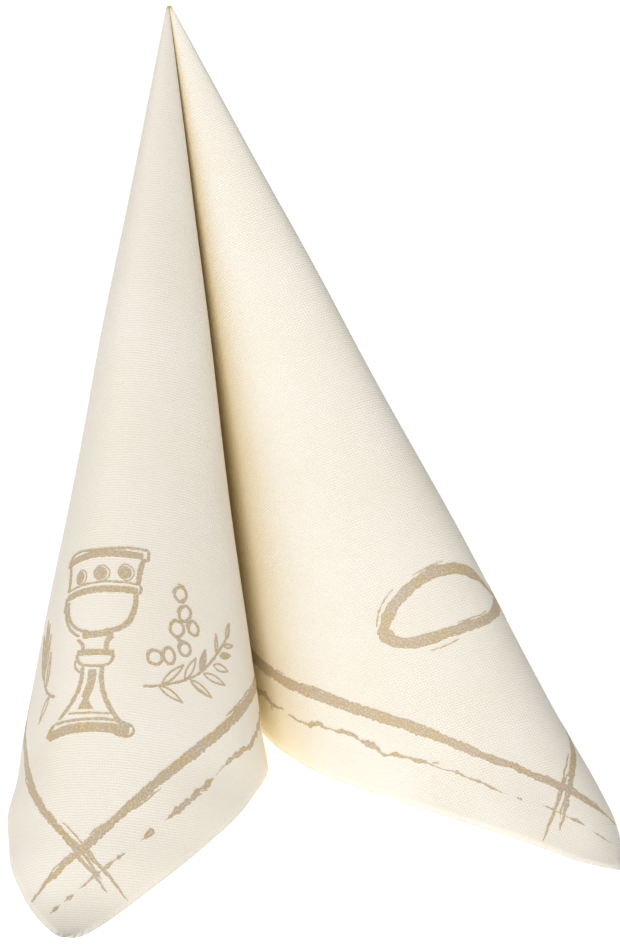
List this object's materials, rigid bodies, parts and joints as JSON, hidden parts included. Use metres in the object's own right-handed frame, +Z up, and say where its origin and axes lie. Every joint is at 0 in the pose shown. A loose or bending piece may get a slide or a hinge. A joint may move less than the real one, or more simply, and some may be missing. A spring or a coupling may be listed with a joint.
{
  "type": "standing paper napkin",
  "caption": "Square cream paper napkin picked up at its centre and standing as a four-lobed peak, with gold brush lines along the edges and chalice, grape, wheat and fish prints in the corners",
  "frame": {"origin": "on the ground, in the middle of the footprint's bounding box", "axes": "+Z up to the pinched tip; the deep valley between the two front lobes faces -Y; +X to the right of it"},
  "size_m": [0.2097, 0.3542, 0.209],
  "materials": {
    "paper": "soft matt airlaid paper with a fine linen emboss, cream",
    "gold_ink": "thin matt gold print, slightly mottled"
  },
  "bodies": {
    "root": {"lobe_front_left": "paper", "lobe_front_right": "paper", "lobe_back_left": "paper", "lobe_back_right": "paper", "pinched_tip": "paper", "thick_line_front": "gold_ink", "thick_line_back": "gold_ink", "thick_line_left": "gold_ink", "thick_line_right": "gold_ink", "thin_line_front": "gold_ink", "thin_line_back": "gold_ink", "chalice_front_left": "gold_ink", "chalice_back_right": "gold_ink", "grapes_front_left": "gold_ink", "grapes_back_right": "gold_ink", "wheat_front_left": "gold_ink", "wheat_back_right": "gold_ink", "fish_front_right": "gold_ink", "fish_back_left": "gold_ink"}
  },
  "joints": []
}
